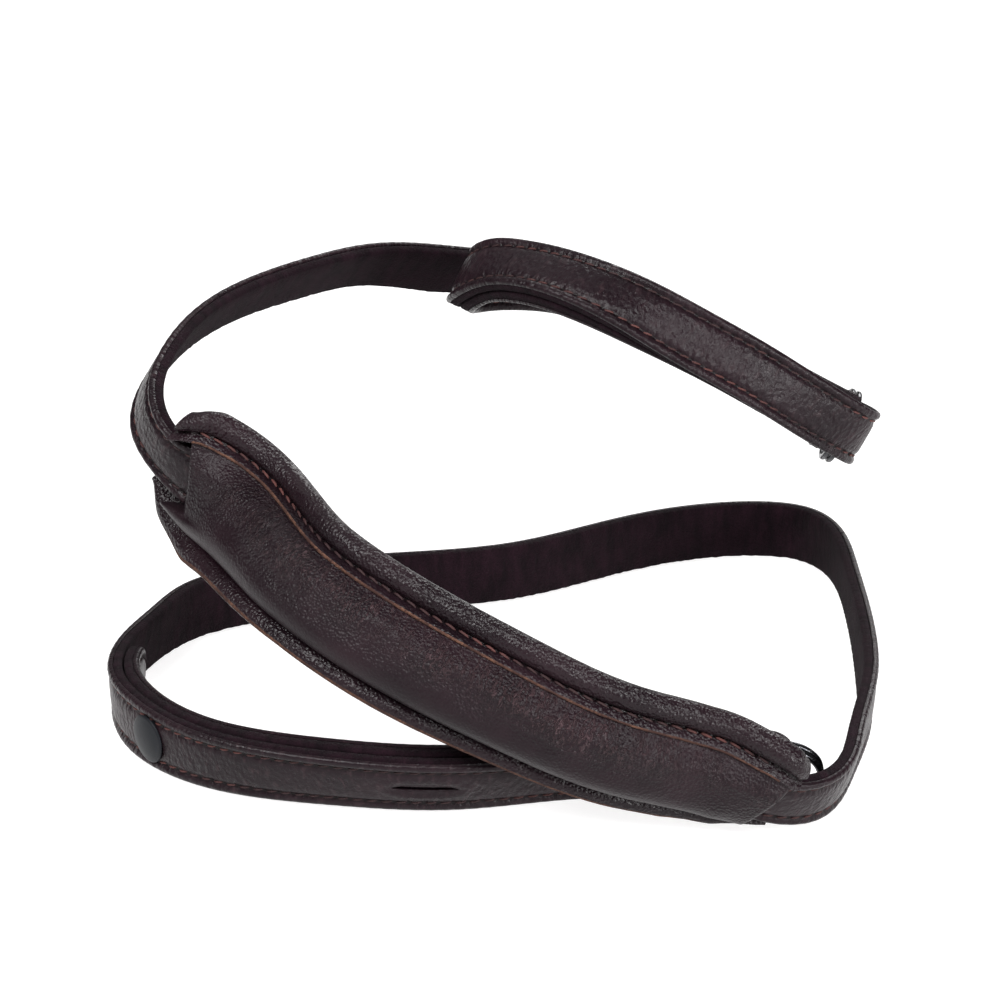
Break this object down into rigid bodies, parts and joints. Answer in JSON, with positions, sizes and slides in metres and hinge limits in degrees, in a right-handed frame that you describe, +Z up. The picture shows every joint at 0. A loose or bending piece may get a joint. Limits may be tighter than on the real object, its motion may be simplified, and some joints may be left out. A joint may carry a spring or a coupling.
{
  "type": "neck strap",
  "caption": "Dark brown leather neck strap with suede lining, folded snap tabs, split rings and a padded shoulder sleeve, shown wound into its loops",
  "frame": {"origin": "centre of split ring one, by which the strap is held up", "axes": "+X to the right of the picture's view, +Y away from the viewer, +Z up"},
  "size_m": [0.1495, 0.1477, 0.0852],
  "materials": {
    "leather": "fine grained, softly glossy dark brown leather",
    "suede": "matt dark plum suede",
    "snap_metal": "satin dark grey lacquer",
    "ring_metal": "polished black metal"
  },
  "bodies": {
    "root": {"strap_face": "leather", "strap_lining": "suede", "pad_back": "leather", "pad_front": "leather", "snap_cap_one": "snap_metal", "snap_base_one": "snap_metal", "snap_cap_two": "snap_metal", "snap_base_two": "snap_metal", "split_ring_one": "ring_metal", "split_ring_two": "ring_metal"}
  },
  "joints": []
}
